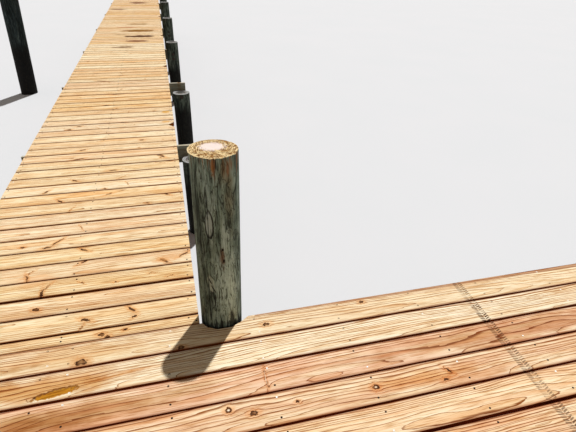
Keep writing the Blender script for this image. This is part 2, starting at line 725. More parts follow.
def write(mesh: bpy.types.Mesh, name: str, values: np.ndarray, domain: str = "POINT") -> None:
    """Writes one value, or one vector, for each vertex or each corner.

    Args:
        mesh: The mesh.
        name: The attribute's name.
        values: One row for each vertex or corner.
        domain: POINT or CORNER.
    """
    kind = "FLOAT_VECTOR" if values.ndim == 2 else "FLOAT"
    attribute = mesh.attributes.get(name) or mesh.attributes.new(name, kind, domain)
    attribute.data.foreach_set("vector" if values.ndim == 2 else "value", values.astype(np.float32).ravel())


def grade(piece: Piece, axis: int, centre: Vector, sawing: Sawing) -> None:
    """Writes the attributes that the wood's finish reads.

    Args:
        piece: The timber, in place.
        axis: 0 if it lies along X, 1 along Y.
        centre: The middle of the timber.
        sawing: Where in the trunk it comes from.
    """
    mesh = piece.data
    local = points(piece) - np.array(centre)
    along, across, deep = local[:, axis], local[:, 1 - axis], local[:, 2]
    rise = deep - sawing.pith_deep - sawing.slope * along
    write(mesh, "grain", np.stack([along + sawing.start, across - sawing.pith_across, rise], axis=1))
    write(mesh, "tone", np.tile((sawing.dark, sawing.red, sawing.orange), (len(local), 1)))
    corners = np.array([loop.vertex_index for loop in mesh.loops])
    sizes = np.zeros((len(KNOT_SLOTS), len(corners), 5))
    sizes[:, :, 0] = FAR
    for face in mesh.polygons:
        spots = along[list(face.vertices)]
        near = sorted(sawing.knots, key=lambda k: max(spots.min() - k.x, k.x - spots.max(), 0.0))
        for slot, knot in enumerate(near[: len(KNOT_SLOTS)]):
            sizes[slot, face.loop_start : face.loop_start + face.loop_total] = (
                knot.x, knot.y, knot.long, knot.wide, math.radians(knot.turn)
            )
    for slot, name in enumerate(KNOT_SLOTS):
        x, y, long, wide, turn = sizes[slot].T
        u, v = along[corners] - x, across[corners] - y
        long, wide = np.where(long > 0, long, 1.0), np.where(wide > 0, wide, 1.0)
        mark = [(u * np.cos(turn) + v * np.sin(turn)) / long, (v * np.cos(turn) - u * np.sin(turn)) / wide]
        write(mesh, name, np.stack([*mark, np.where(x < FAR, 1.5 * wide, 0.0)], axis=1), "CORNER")


def deselect() -> None:
    """Leaves edit mode and deselects every object."""
    if bpy.context.mode != "OBJECT":
        bpy.ops.object.mode_set(mode="OBJECT")
    bpy.ops.object.select_all(action="DESELECT")


def choose(*pieces: Piece) -> None:
    """Selects these pieces and no others.

    Args:
        *pieces: The pieces, of which the first becomes the active one.
    """
    deselect()
    for piece in pieces:
        piece.select_set(True)
    bpy.context.view_layer.objects.active = pieces[0]


def edit(piece: Piece, mode: str, test: Callable[[object], bool] | None = None) -> None:
    """Opens a piece in edit mode with only the wanted elements selected.

    Args:
        piece: The piece.
        mode: VERT, EDGE or FACE.
        test: Says which vertices, edges or faces are selected; all of them if there is none.
    """
    choose(piece)
    bpy.ops.object.mode_set(mode="EDIT")
    bpy.ops.mesh.select_mode(type=mode)
    bpy.ops.mesh.select_all(action="SELECT" if test is None else "DESELECT")
    if test is None:
        return
    bpy.ops.object.mode_set(mode="OBJECT")
    items = {"VERT": piece.data.vertices, "EDGE": piece.data.edges, "FACE": piece.data.polygons}[mode]
    for item in items:
        item.select = bool(test(item))
    bpy.ops.object.mode_set(mode="EDIT")


def edge_axis(piece: Piece, axis: int) -> Callable[[object], bool]:
    """Makes the test for edges that run along an axis.

    Args:
        piece: The piece whose edges are tested.
        axis: 0, 1 or 2 for X, Y or Z.

    Returns:
        The test of an edge.
    """

    def runs(edge: bpy.types.MeshEdge) -> bool:
        """Tests an edge.

        Args:
            edge: The edge.

        Returns:
            True if it runs along the axis.
        """
        a, b = (piece.data.vertices[i].co for i in edge.vertices)
        across = [abs((b - a)[k]) for k in range(3) if k != axis]
        return abs((b - a)[axis]) > 1e-6 and max(across) < 1e-6

    return runs


def timber(name: str, size: Vector, axis: int, ease: float, cuts: int) -> Piece:
    """Makes a sawn timber round the origin, its long edges eased.

    Args:
        name: The piece's name.
        size: Its size along X, Y and Z.
        axis: The axis that it runs along.
        ease: The radius of its eased edges.
        cuts: How many rings of vertices cross it between its ends.

    Returns:
        The new object.
    """
    deselect()
    bpy.ops.mesh.primitive_cube_add(size=1.0)
    piece = bpy.context.object
    piece.name = name
    piece.data.name = name
    piece.scale = size
    bpy.ops.object.transform_apply(location=False, rotation=False, scale=True)
    edit(piece, "EDGE", edge_axis(piece, axis))
    bpy.ops.mesh.bevel(offset=ease, segments=2, profile=0.5, affect="EDGES")
    edit(piece, "EDGE", edge_axis(piece, axis))
    bpy.ops.mesh.subdivide(number_cuts=cuts)
    deselect()
    return piece


def copy_of(source: Piece, name: str) -> Piece:
    """Makes a copy with its own mesh.

    Args:
        source: The object that is copied.
        name: The copy's name.

    Returns:
        The copy, linked to the scene.
    """
    piece = source.copy()
    piece.data = source.data.copy()
    piece.name = name
    bpy.context.scene.collection.objects.link(piece)
    return piece


def points(piece: Piece) -> np.ndarray:
    """Reads where a piece's vertices are.

    Args:
        piece: The piece.

    Returns:
        Their places, one row each.
    """
    co = np.empty(len(piece.data.vertices) * 3)
    piece.data.vertices.foreach_get("co", co)
    return co.reshape(-1, 3)


def place(piece: Piece, co: np.ndarray) -> None:
    """Puts a piece's vertices at new places."""
    piece.data.vertices.foreach_set("co", co.ravel())
    piece.data.update()


def joined(pieces: list[Piece], name: str) -> Piece:
    """Joins pieces into one mesh.

    Args:
        pieces: The pieces, of which the first gives its materials.
        name: The joined piece's name.

    Returns:
        The joined piece.
    """
    choose(*pieces)
    if len(pieces) > 1:
        bpy.ops.object.join()
    pieces[0].name = name
    pieces[0].data.name = name
    deselect()
    return pieces[0]


def finish_piece(piece: Piece, materials: list[Material], slot: str, *nodes: str, sharp: float = 35) -> None:
    """Shades and dresses a finished piece and hangs it on the frame.

    Args:
        piece: The piece, in place.
        materials: Its materials.
        slot: The record's material slot.
        nodes: The nodes of the frame that it stands for.
        sharp: The angle in degrees from which an edge isn't shaded smooth.
    """
    choose(piece)
    bpy.ops.object.shade_smooth_by_angle(angle=math.radians(sharp))
    deselect()
    for number, material in enumerate(materials):
        if number < len(piece.data.materials):
            piece.data.materials[number] = material
        else:
            piece.data.materials.append(material)
    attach(piece, "root")
    if nodes:
        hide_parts(*nodes)
    LOG.info("%s: %d faces", piece.name, len(piece.data.polygons))


def middle_of(node: str) -> tuple[float, float, float]:
    """Returns the middle of a node's box."""
    lo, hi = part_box(node)
    return tuple((a + b) / 2 for a, b in zip(lo, hi))


class Tone(Enum):
    """How a board looks beside its neighbours: shares of dark, red and orange, to which its draw is added."""

    PALE = (-0.03, -0.08, -0.13)
    PLAIN = (0.12, 0.12, 0.12)
    HONEY = (0.1, 0.1, 0.5)
    PEACH = (0.0, 0.45, 0.3)
    PINK = (0.08, 0.85, 0.1)


@dataclass(frozen=True)
class Stock:
    """Sizes of the sawn timber, which the frame is made of too."""

    board_w: float = 5.5 * INCH
    ply: float = 1.5 * INCH
    ease: float = 3 * MM
    walk_gap: float = 2.4 * MM
    head_gap: float = 12.7 * MM
    strip_w: float = 68 * MM


@dataclass
class Deck:
    """Boards of one part of the deck, each sawn from its own place in a trunk.

    A board is narrower than its place by what it shrank, or wider where that is below zero, and it differs a
    little in bow, place, length and height. One board, given by its number, may be moved along Y. Where the
    listed knots are seen, no stray ones are drawn.
    """

    node: str
    pitch: float
    tones: tuple[Tone, ...] = ()
    knots: tuple[Knot, ...] = ()
    first_w: float = 0.0
    shrink: tuple[float, float] = (3.5 * MM, 8 * MM)
    bow: float = 0.8 * MM
    short: float = 1.5 * MM
    sunk: tuple[float, float] = (0.4 * MM, 1.1 * MM)
    stray_knots: float = 1.4
    spikes: float = 0.35
    uneven: float = 0.22
    slope: tuple[float, float] = (0.003, 0.014)
    seen: tuple[float, float] = (0.0, 0.0)
    moved: tuple[int, float] = (0, 0.0)
    seed: int = 1
    row: float = 200 * MM
    stock: Stock = field(default_factory=Stock)

    def board_spans(self) -> list[tuple[float, float]]:
        """Works out where the boards lie.

        Returns:
            The two edges of each board along Y, in order of Y.
        """
        lo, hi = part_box(self.node)
        spans = []
        y = lo.y
        if self.first_w:
            spans.append((y, y + self.first_w))
            y += self.first_w + self.pitch - self.stock.board_w
        while y < hi.y - self.stock.board_w / 2:
            spans.append((y, y + self.stock.board_w))
            y += self.pitch
        return spans

    def build(self, material: Material) -> None:
        """Lays the boards and joins them.

        Args:
            material: Their finish.
        """
        lo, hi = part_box(self.node)
        draw = random.Random(self.seed)
        length = hi.x - lo.x
        size = Vector((length, self.stock.board_w, self.stock.ply))
        blank = timber("board", size, 0, self.stock.ease, round(length / self.row))
        x, _, z = middle_of(self.node)
        boards = []
        for number, (y0, y1) in enumerate(self.board_spans()):
            board = copy_of(blank, f"board_{number}")
            centre = Vector((x, (y0 + y1) / 2, z))
            if number == self.moved[0]:
                centre.y += self.moved[1]
            self._shape(board, draw, centre, length, y1 - y0)
            self._trim(board, y0, y1)
            grade(board, 0, centre, self._sawing(draw, number, centre, length, y1 - y0))
            boards.append(board)
        bpy.data.objects.remove(blank)
        finish_piece(joined(boards, self.node + "_boards"), [material], "deck_pine", self.node)

    def _shape(self, board: Piece, draw: random.Random, centre: Vector, length: float, width: float) -> None:
        """Gives a board its own shrinkage, bow and height, and puts it in place.

        Args:
            board: The board, round the origin.
            draw: The deck's random numbers.
            centre: Where its middle goes.
            length: Its length.
            width: Its width before it shrank.
        """
        co = points(board)
        shrink = draw.uniform(*self.shrink)
        bow = draw.uniform(-self.bow, self.bow)
        shift = draw.uniform(-0.4, 0.4) * shrink
        ends = (draw.uniform(-self.short, 0.0), draw.uniform(0.0, self.short))
        t = co[:, 0] / (length / 2)
        tip = 0.99
        co[:, 0] += np.where(t > tip, ends[0], 0) + np.where(t < -tip, ends[1], 0)
        eased = self.stock.board_w / 2 - self.stock.ease
        co[:, 1] += np.sign(co[:, 1]) * ((width - shrink) / 2 - self.stock.ease - eased)
        co[:, 1] += bow * (1 - t * t) * min(1.0, abs(shrink) / MM / 2) + shift
        lo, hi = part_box(self.node)
        co[:, 1] = np.clip(co[:, 1], lo.y - centre.y, hi.y - centre.y)
        co[:, 2] -= draw.uniform(*self.sunk)
        place(board, co + np.array(centre))

    def _trim(self, board: Piece, y0: float, y1: float) -> None:
        """Leaves the board whole; a deck with notches cuts them here."""

    def _sawing(
        self, draw: random.Random, number: int, centre: Vector, length: float, width: float
    ) -> Sawing:
        """Chooses a place in the trunk and the knots of one board.

        Args:
            draw: The deck's random numbers.
            number: The board's number.
            centre: The board's middle.
            length: Its length.
            width: Its width.

        Returns:
            The board's sawing.
        """
        placed = [
            Knot(k.x - centre.x, k.y - centre.y, k.long, k.wide, k.turn)
            for k in self.knots
            if abs(k.y - centre.y) <= width / 2
        ]
        stray = []
        for _ in range(round(draw.uniform(0.3, 1.7) * self.stray_knots * length / 1.2)):
            spike = draw.random() < self.spikes
            longs, wides = ((14, 40), (2, 4.5)) if spike else ((4, 13), (3, 9))
            along = draw.uniform(-0.48, 0.48) * length
            knot = Knot(
                along,
                draw.uniform(-0.38, 0.38) * width,
                draw.uniform(*longs) * MM,
                draw.uniform(*wides) * MM,
                draw.choice((-1, 1)) * draw.uniform(12, 85) if spike else draw.uniform(-25, 25),
            )
            if not self.seen[0] < along + centre.x < self.seen[1]:
                stray.append(knot)
        pick = draw.choice((Tone.PALE, Tone.PLAIN, Tone.PLAIN, Tone.HONEY))
        tone = self.tones[number] if number < len(self.tones) else pick
        dark, red, orange = tone.value
        return Sawing(
            start=draw.uniform(0, 40),
            pith_across=draw.uniform(-0.05, 0.05),
            pith_deep=draw.choice((-1, 1)) * draw.uniform(0.035, 0.11),
            slope=draw.choice((-1, 1)) * draw.uniform(*self.slope),
            dark=dark + draw.uniform(0, self.uneven),
            red=red + draw.uniform(0, 0.3),
            orange=orange + draw.uniform(0, 0.3),
            knots=tuple(placed + stray),
        )


@dataclass
class WalkwayDeck(Deck):
    """Boards of one bay of the walkway, with a sawn notch in the right edge beside each pair of piles."""

    notch_ys: tuple[float, ...] = ()
    notch_depth: float = 60 * MM
    notch_mouth: float = 140 * MM

    def _trim(self, board: Piece, y0: float, y1: float) -> None:
        """Saws off the board's right corner where a notch meets it.

        Args:
            board: The board, in place.
            y0: Its near edge.
            y1: Its far edge.
        """
        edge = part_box(self.node)[1].x
        middle = (y0 + y1) / 2
        for notch_y in self.notch_ys:
            if abs(middle - notch_y) > self.stock.board_w:
                continue
            side = 1 if notch_y > middle else -1
            apex = Vector((edge - self.notch_depth, notch_y, 0))
            mouth = Vector((edge, notch_y - side * self.notch_mouth / 2, 0))
            run = (mouth - apex).normalized()
            outward = Vector((side * -run.y, side * run.x, 0))
            edit(board, "VERT")
            bpy.ops.mesh.bisect(plane_co=apex, plane_no=outward, use_fill=True, clear_outer=True)
            deselect()


@dataclass
class HeadDeck(Deck):
    """Boards of the head, the first and last cut round the inner piles.

    A notch is scribed round its pile with some room. On the outer side a corner is sawn off by the splay,
    which starts at the distance "out" behind the pile's middle.
    """

    pile_x: float = 0.7195
    pile_y: tuple[float, float] = (0.0, 0.0)
    pile_r: float = 101 * MM
    clear: float = 8 * MM
    splay: float = 14 * MM
    out: float = 50 * MM

    def _trim(self, board: Piece, y0: float, y1: float) -> None:
        """Cuts the board round the piles that stand in its edge.

        Args:
            board: The board, in place.
            y0: Its near edge.
            y1: Its far edge.
        """
        for pile_y in self.pile_y:
            if not y0 - self.out * 1.5 < pile_y < y1 + self.out * 1.5:
                continue
            for side in (-1, 1):
                self._cut(board, side, pile_y, 1 if pile_y > (y0 + y1) / 2 else -1)

    def _cut(self, board: Piece, side: int, pile_y: float, outwards: int) -> None:
        """Cuts one notch: scribed round the pile, its outer corner sawn off at an angle.

        Args:
            board: The board.
            side: -1 for the left pile and 1 for the right one.
            pile_y: The pile's middle along Y.
            outwards: 1 where the deck's edge faces +Y, and -1 where it faces -Y.
        """
        r = self.pile_r + self.clear
        outline = [
            (-r, -r / 3),
            (-r * 0.7, -r * 0.75),
            (-r * 0.3, -r * 0.97),
            (r * 0.3, -r * 0.97),
            (r * 0.75, -r * 0.75),
            (r + self.splay, -self.out),
            (r + self.splay, r),
            (-r, r),
        ]
        below = 20 * MM
        deselect()
        bpy.ops.mesh.primitive_circle_add(vertices=len(outline), fill_type="NGON")
        cutter = bpy.context.object
        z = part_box(self.node)[0].z - below
        for vertex, (x, y) in zip(cutter.data.vertices, outline):
            vertex.co = (side * (self.pile_x + x), pile_y + outwards * y, z)
        edit(cutter, "FACE")
        bpy.ops.mesh.extrude_region_move(TRANSFORM_OT_translate={"value": (0, 0, self.stock.ply + 2 * below)})
        bpy.ops.mesh.select_all(action="SELECT")
        bpy.ops.mesh.normals_make_consistent(inside=False)
        deselect()
        bpy.context.view_layer.objects.active = board
        cut = board.modifiers.new("notch", "BOOLEAN")
        cut.operation = "DIFFERENCE"
        cut.object = cutter
        bpy.ops.object.modifier_apply(modifier=cut.name)
        bpy.data.objects.remove(cutter)


def loose_boxes(mesh: bpy.types.Mesh) -> list[tuple[Vector, Vector]]:
    """Finds the box of each solid in a node's mesh, whose triangles may be loose.

    Args:
        mesh: The node's mesh.

    Returns:
        The lowest and highest corner of each solid, in order of X and then Y.
    """
    parent: dict[tuple, tuple] = {}

    def root(key: tuple) -> tuple:
        """Finds the corner that stands for a corner's solid.

        Args:
            key: The corner's place.

        Returns:
            The place of the one that stands for the solid.
        """
        while parent[key] != key:
            parent[key] = parent[parent[key]]
            key = parent[key]
        return key

    keys = [tuple(round(c, 5) for c in v.co) for v in mesh.vertices]
    for key in keys:
        parent.setdefault(key, key)
    for face in mesh.polygons:
        first = root(keys[face.vertices[0]])
        for index in face.vertices[1:]:
            parent[root(keys[index])] = first
    groups: dict[tuple, list[tuple]] = {}
    for key in parent:
        groups.setdefault(root(key), []).append(key)
    boxes = [(Vector(map(min, *group)), Vector(map(max, *group))) for group in groups.values()]
    return sorted(boxes, key=lambda b: (round(b[0].x, 3), round(b[0].y, 3)))


@dataclass
class Framing:
    """Straight timbers of one node, each with eased edges and its own grain."""

    node: str
    axis: int
    slot: str
    seed: int
    ease: float = 3 * MM
    dark: float = 0.1
    row: float = 500 * MM
    knots_a_metre: int = 2

    def build(self, material: Material) -> None:
        """Makes the timbers and joins them.

        Args:
            material: Their finish.
        """
        draw = random.Random(self.seed)
        made = []
        for number, (lo, hi) in enumerate(loose_boxes(NODES[self.node].data)):
            size = hi - lo
            long, wide = size[self.axis], size[1 - self.axis]
            piece = timber(f"timber_{number}", size, self.axis, self.ease, max(2, round(long / self.row)))
            centre = (lo + hi) / 2
            co = points(piece)
            t = co[:, self.axis] / (long / 2)
            co[:, 1 - self.axis] += draw.uniform(-1, 1) * MM * (1 - t * t)
            place(piece, co + np.array(centre))
            knots = tuple(
                Knot(
                    draw.uniform(-0.48, 0.48) * long,
                    draw.uniform(-0.3, 0.3) * wide,
                    draw.uniform(8, 16) * MM,
                    draw.uniform(8, 14) * MM,
                )
                for _ in range(round(long * self.knots_a_metre))
            )
            sawing = Sawing(
                start=draw.uniform(0, 40),
                pith_across=draw.choice((-1, 1)) * draw.uniform(0.02, 0.07),
                pith_deep=draw.uniform(-0.05, 0.05),
                slope=draw.uniform(-0.015, 0.015),
                dark=self.dark + draw.uniform(0, 0.25),
                red=draw.uniform(0, 0.2),
                orange=draw.uniform(0, 0.3),
                knots=knots,
            )
            grade(piece, self.axis, centre, sawing)
            made.append(piece)
        finish_piece(joined(made, self.node + "_timber"), [material], self.slot, self.node)


@dataclass(frozen=True)
class Check:
    """A drying check, a crack that follows the grain of a pile.

    Its angle round the pile and its slant are in degrees, and its sway is in radians.
    """

    angle: float
    low: float
    high: float
    deep: float
    wide: float
    sway: float
    slant: float = 0.0


@dataclass
class Pile:
    """A round pile with a sawn top, checks and the flat seat of its cap.

    Its centre is the one at the deck's level, and its radius the one at the top. The skin lies the inset
    inside the radius, and lobes, ridges and chips are how far it stands out and in from there. A lip is the
    burr that the saw left at the top's edge.
    """

    node: str
    centre: Vector
    radius: float
    top: float
    seed: int
    deck_h: float
    cap_span: tuple[float, float]
    checks: tuple[Check, ...]
    seat_y: float | None
    seat_side: int
    lean: float = 0.0
    taper: float = 4 * MM
    columns: int = 96
    row: float = 28 * MM
    end_rings: tuple[float, ...] = (0.03, 0.07, 0.15, 0.15, 0.15, 0.15)
    lip: float = 0.0
    inset: float = 2.4 * MM
    lobe: float = 2.0 * MM
    ridge: float = 1.4 * MM
    chip: float = 0.8 * MM
    tear: float = 1.2 * MM

    def heights(self) -> list[float]:
        """Places the rings of vertices, close together at the seat's edges and the top.

        Returns:
            Their heights, from the foot up.
        """
        count = max(8, round(self.top / self.row))
        extra = [self.top - 5 * MM, self.top - 1.5 * MM]
        if self.seat_y is not None:
            extra += [level + side * 0.5 * MM for level in self.cap_span for side in (-1, 1)]
        extra = [z for z in extra if z < self.top - 1 * MM]
        levels = [self.top * k / count for k in range(count + 1)]
        return sorted(extra + [z for z in levels if z == self.top or all(abs(z - e) > 3 * MM for e in extra)])

    def build(self, skin: Material, end: Material) -> None:
        """Turns the pile's rings of vertices into its weathered form.

        Args:
            skin: The finish of its side.
            end: The finish of its sawn top.
        """
        levels = self.heights()
        deselect()
        bpy.ops.mesh.primitive_cylinder_add(vertices=self.columns, radius=1.0, depth=1.0)
        piece = bpy.context.object
        edit(piece, "EDGE", edge_axis(piece, 2))
        bpy.ops.mesh.subdivide(number_cuts=len(levels) - 2)
        edit(piece, "FACE", lambda f: abs(f.normal.z) > 0.9 and f.center.z > 0.4)
        for share in self.end_rings:
            bpy.ops.mesh.inset(thickness=share)
        deselect()
        self._sculpt(piece, levels)
        edit(piece, "FACE", lambda f: len(f.vertices) > 4)
        bpy.ops.mesh.poke()
        deselect()
        for face in piece.data.polygons:
            face.material_index = 1 if face.normal.z > 0.5 and face.center.z > self.top - 0.02 else 0
        self._write(piece)
        piece.name = self.node + "_skin"
        piece.data.name = piece.name
        finish_piece(piece, [skin, end], "pile_timber", self.node, sharp=50.0)

    def _sculpt(self, piece: Piece, levels: list[float]) -> None:
        """Moves the vertices out to the pile's skin, its checks and its seat.

        Args:
            piece: The subdivided cylinder, of radius 1 and height 1.
            levels: The heights that its rings of vertices go to.
        """
        co = points(piece)
        rows = np.round((co[:, 2] + 0.5) * (len(levels) - 1)).astype(int)
        draw = random.Random(self.seed)
        offset = Vector((draw.uniform(0, 50), draw.uniform(0, 50), draw.uniform(0, 50)))
        depth = np.zeros(len(co))
        out = np.empty_like(co)
        step = 2 * math.pi / self.columns
        tracks = [(check, self._track(check, levels, step)) for check in self.checks]
        for index, (x, y, _) in enumerate(co):
            share = math.hypot(x, y)
            on_rim = share > 0.999
            angle = math.atan2(y, x)
            level = levels[rows[index]]
            at_top = level > self.top - 1 * MM
            pulled = 0.0
            if on_rim:
                column = round(angle / step)
                for check, track in tracks:
                    middle, exact, strength = track[rows[index]]
                    away = (column - middle + self.columns // 2) % self.columns - self.columns // 2
                    if abs(away) > 1 or strength <= 0:
                        continue
                    half = check.wide / self.radius / 2
                    angle = exact + away * (half * strength + step * (1 - strength))
                    if away == 0:
                        pulled = check.deep * strength
                        depth[index] = strength
            unit = Vector((math.cos(angle), math.sin(angle), 0))
            radius = self.radius + (level - self.top) * self.taper / 2
            for round_it, up_it, size in ((1.1, 0.9, self.lobe), (7, 1.6, self.ridge), (13, 7, self.chip)):
                radius += noise.noise(unit * round_it + Vector((0, 0, level * up_it)) + offset) * size
            torn = self.tear * (1 + noise.noise(unit * 16 + offset)) if at_top and on_rim else 0.0
            burr = self.lip * max(0.0, -unit.x) ** 2 * min(max(1 - (self.top - level) / (14 * MM), 0.0), 1.0)
            radius = (radius + burr - self.inset - torn) * share - pulled
            z = level
            if at_top:
                spot = Vector((unit.x * share * 6, unit.y * share * 6, 3.0)) + offset
                z += (noise.noise(spot) + 0.6 * noise.noise(spot * 3) - 1.6) * 0.9 * MM
                if share > 0.95:
                    z -= (1 + noise.noise(unit * 21 + offset)) * 1.1 * MM
            px = self.centre.x + unit.x * radius
            py = self.centre.y + unit.y * radius
            if self.seat_y is not None and self.cap_span[0] - 1e-4 < level < self.cap_span[1] + 1e-4:
                py = min(py, self.seat_y) if self.seat_side > 0 else max(py, self.seat_y)
            near_top = min(max((level - self.top + 0.3) / 0.3, 0.0), 1.0)
            z -= unit.x * radius * math.sin(self.lean) * near_top
            shift = (level - self.deck_h) * math.tan(self.lean)
            out[index] = (px + shift, py, max(z, 0.0) if level > 0 else 0.0)
        place(piece, out)
        write(piece.data, "check", depth)

    def _track(self, check: Check, levels: list[float], step: float) -> list[tuple[int, float, float]]:
        """Follows a check up the pile.

        Args:
            check: The check.
            levels: The heights of the rings of vertices.
            step: The angle between two columns of vertices.

        Returns:
            For each ring the column and the exact angle of the check, and how open it is, from 0 to 1.
        """
        track = []
        for level in levels:
            sway = noise.noise(Vector((check.angle * 3, level * 2.2, 0.5))) * check.sway
            lean = math.radians(check.slant) * (level - check.low) / max(check.high - check.low, 1e-6)
            angle = math.radians(check.angle) + sway + lean
            inside = (level - check.low) / max(check.high - check.low, 1e-6)
            strength = math.sin(math.pi * inside) ** 0.4 if 0 < inside < 1 else 0.0
            if check.high >= self.top and inside > 0.5:
                strength = 1.0
            track.append((round(angle / step), angle, strength))
        return track

    def _write(self, piece: Piece) -> None:
        """Writes the depth under the top and the place from the pith, for the finishes.

        Args:
            piece: The pile, in place.
        """
        co = points(piece)
        middle = self.centre.x + (self.top - self.deck_h) * math.tan(self.lean)
        grain = [self.top - co[:, 2], co[:, 0] - middle, co[:, 1] - self.centre.y]
        write(piece.data, "grain", np.stack(grain, axis=1))


@dataclass(frozen=True)
class Disc:
    """A flat part of a bolt: its radius, thickness, number of sides, and how much its edges are eased."""

    radius: float
    thick: float
    sides: int
    ease: float

    def laid(self, at: Vector, base: float, end: int) -> Piece:
        """Makes the disc with its axis along Y.

        Args:
            at: A point on its axis.
            base: Where its inner face is along Y.
            end: 1 or -1, the way its outer face looks.

        Returns:
            The disc, in place.
        """
        deselect()
        bpy.ops.mesh.primitive_cylinder_add(
            vertices=self.sides,
            radius=self.radius,
            depth=self.thick,
            location=(at.x, base + end * self.thick / 2, at.z),
            rotation=(math.pi / 2, 0, 0),
        )
        piece = bpy.context.object
        bpy.ops.object.transform_apply(location=True, rotation=True, scale=True)
        edit(piece, "FACE", lambda f: abs(f.normal.y) > 0.9)
        bpy.ops.mesh.bevel(offset=self.ease, segments=1, affect="EDGES")
        deselect()
        return piece


@dataclass
class ThroughBolts:
    """Rusted 16 mm bolts through caps and piles, each with two washers, a six-sided head and nut, and a stub.

    Head and nut are 24 mm across their flats. The thread of the stub is drawn as a few coarse turns.
    """

    washer: Disc = Disc(25 * MM, 5 * MM, 20, 1 * MM)
    nut: Disc = Disc(12 * MM / math.cos(math.pi / 6), 10 * MM, 6, 1.5 * MM)
    thread: Disc = Disc(8 * MM, 3 * MM, 14, 0.8 * MM)
    turns: int = 4

    def one(self, at: Vector, length: float, outward: int) -> Piece:
        """Makes a bolt along Y.

        Args:
            at: The middle of its head's washer, on the timber.
            length: From that face to the face that the nut bears on.
            outward: 1 where the head looks towards +Y, and -1 towards -Y.

        Returns:
            The bolt, in place.
        """
        parts = []
        far = at.y - outward * length
        for end, base in ((outward, at.y), (-outward, far)):
            parts.append(self.washer.laid(at, base, end))
            parts.append(self.nut.laid(at, base + end * self.washer.thick, end))
        stub = far - outward * (self.washer.thick + self.nut.thick)
        for turn in range(self.turns):
            parts.append(self.thread.laid(at, stub - outward * turn * self.thread.thick, -outward))
        return joined(parts, "bolt")


@dataclass
class DeckScrews:
    """Deck screws driven just below the surface, two in each board over each stringer or joist."""

    name: str
    lines: tuple[float, ...]
    spans: list[tuple[float, float]]
    top: float
    avoid: tuple[tuple[float, float, float], ...]
    shiny: float = 0.1
    seed: int = 5
    radius: float = 4.4 * MM
    thick: float = 1.4 * MM
    sunk: float = 0.2 * MM
    in_from_edge: float = 24 * MM

    def build(self, materials: list[Material]) -> None:
        """Makes the screw heads as one mesh.

        Args:
            materials: The finish of most of them, and that of the shiny ones.
        """
        draw = random.Random(self.seed)
        head = self._head()
        for material in materials:
            head.data.materials.append(material)
        heads = []
        for x in self.lines:
            for y0, y1 in self.spans:
                for y in (y0 + self.in_from_edge, y1 - self.in_from_edge):
                    at = (x + draw.gauss(0, 7) * MM, y + draw.gauss(0, 4) * MM)
                    turn = draw.uniform(0, math.pi)
                    shiny = draw.random() < self.shiny
                    if any(math.hypot(at[0] - ax, at[1] - ay) < r for ax, ay, r in self.avoid):
                        continue
                    one = copy_of(head, "screw")
                    spot = Matrix.Translation((*at, self.top - self.sunk))
                    one.data.transform(spot @ Matrix.Rotation(turn, 4, "Z"))
                    for face in one.data.polygons:
                        face.material_index = int(shiny)
                    heads.append(one)
        bpy.data.objects.remove(head)
        finish_piece(joined(heads, self.name), materials, "deck_pine")

    def _head(self) -> Piece:
        """Makes one flat head with its six-sided drive, its face level with the origin.

        Returns:
            The head.
        """
        deselect()
        bpy.ops.mesh.primitive_cylinder_add(
            vertices=12, radius=self.radius, depth=self.thick, location=(0, 0, self.thick / -2)
        )
        piece = bpy.context.object
        bpy.ops.object.transform_apply(location=True, rotation=False, scale=False)
        edit(piece, "FACE", lambda f: f.normal.z > 0.9)
        bpy.ops.mesh.inset(thickness=0.6 * MM, depth=0.3 * MM)
        bpy.ops.mesh.inset(thickness=1.7 * MM)
        bpy.ops.transform.translate(value=(0, 0, -0.7 * MM))
        deselect()
        return piece


